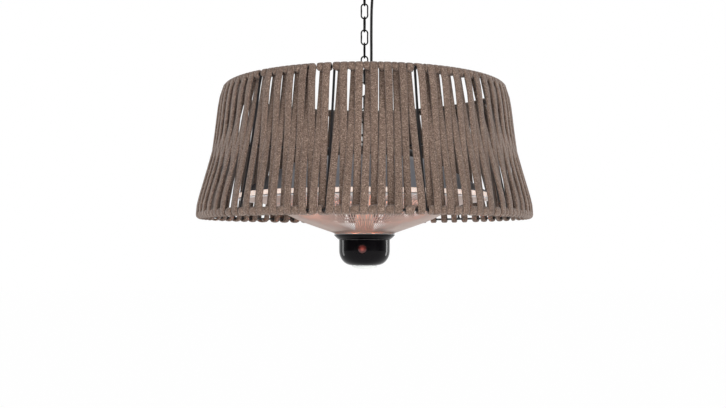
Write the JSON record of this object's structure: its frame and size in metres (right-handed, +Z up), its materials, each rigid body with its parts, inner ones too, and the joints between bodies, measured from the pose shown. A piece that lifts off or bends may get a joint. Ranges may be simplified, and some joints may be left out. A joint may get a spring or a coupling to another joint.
{
  "type": "hanging patio heater",
  "caption": "Electric patio heater hung on a chain: a domed reflector with halogen tubes behind a round wire guard, over a control housing, inside a wide shade of wound rope.",
  "frame": {"origin": "where the S-hook bears on what holds it: inside its upper loop, at the top", "axes": "+Z up along the chain, -Y to the front, where the red window is, +X to the side where the lead runs"},
  "size_m": [0.6, 0.6, 0.6163],
  "materials": {
    "black_steel": "satin black",
    "rope": "flat braided rope, matt",
    "aluminium": "spun, satin",
    "chrome": "bright plated",
    "zinc": "zinc plated",
    "black_plastic": "moulded, glossy",
    "rubber": "matt black",
    "quartz": "lit halogen tube",
    "red_lens": "clear dark red, domed",
    "opal": "opal",
    "board": "circuit board"
  },
  "bodies": {
    "hook": {"s_hook": "zinc"},
    "top_link": {"chain_link_01": "black_steel"},
    "chain": {"chain_link_02": "black_steel", "chain_link_03": "black_steel", "chain_link_04": "black_steel", "chain_link_05": "black_steel", "chain_link_06": "black_steel", "chain_link_07": "black_steel", "chain_link_08": "black_steel", "chain_link_09": "black_steel", "chain_link_10": "black_steel", "chain_link_11": "black_steel", "chain_link_12": "black_steel", "power_cable": "rubber", "cable_coil": "rubber", "plug": "rubber", "cable_tie": "black_plastic"},
    "bottom_link": {"chain_link_13": "black_steel"},
    "heater": {"eye_bolt": "black_steel", "upper_nut": "zinc", "lower_nut": "zinc", "shade_spider": "black_steel", "shade_frame": "black_steel", "rope_bay_01": "rope", "rope_bay_02": "rope", "rope_bay_03": "rope", "rope_bay_04": "rope", "rope_bay_05": "rope", "rope_bay_06": "rope", "rope_bay_07": "rope", "rope_bay_08": "rope", "rope_bay_09": "rope", "rope_bay_10": "rope", "rope_bay_11": "rope", "rope_bay_12": "rope", "top_cover": "black_plastic", "reflector": "aluminium", "lamp_carrier": "zinc", "halogen_tube_1": "quartz", "halogen_tube_2": "quartz", "halogen_tube_3": "quartz", "centre_column": "aluminium", "wire_guard": "chrome", "guard_hub_ring": "chrome", "housing_collar": "black_plastic", "housing_shell": "black_plastic", "control_board": "board", "receiver_window": "red_lens", "bottom_diffuser": "opal", "cable_gland": "rubber"}
  },
  "joints": [
    {"name": "hook_pivot", "type": "hinge", "parent": "hook", "child": "top_link", "pos_m": [0, 0, -0.06525], "axis": [1, 0, 0], "range_deg": [-20, 20]},
    {"name": "top_link_pivot", "type": "hinge", "parent": "top_link", "child": "chain", "pos_m": [0, 0, -0.088], "axis": [0, 1, 0], "range_deg": [-15, 15]},
    {"name": "bottom_link_pivot", "type": "hinge", "parent": "chain", "child": "bottom_link", "pos_m": [0, 0, -0.3487], "axis": [1, 0, 0], "range_deg": [-8, 8], "deforming": ["power_cable"]},
    {"name": "heater_pivot", "type": "hinge", "parent": "bottom_link", "child": "heater", "pos_m": [0, 0, -0.3724], "axis": [0, 1, 0], "range_deg": [-8, 8], "deforming": ["power_cable"]}
  ]
}
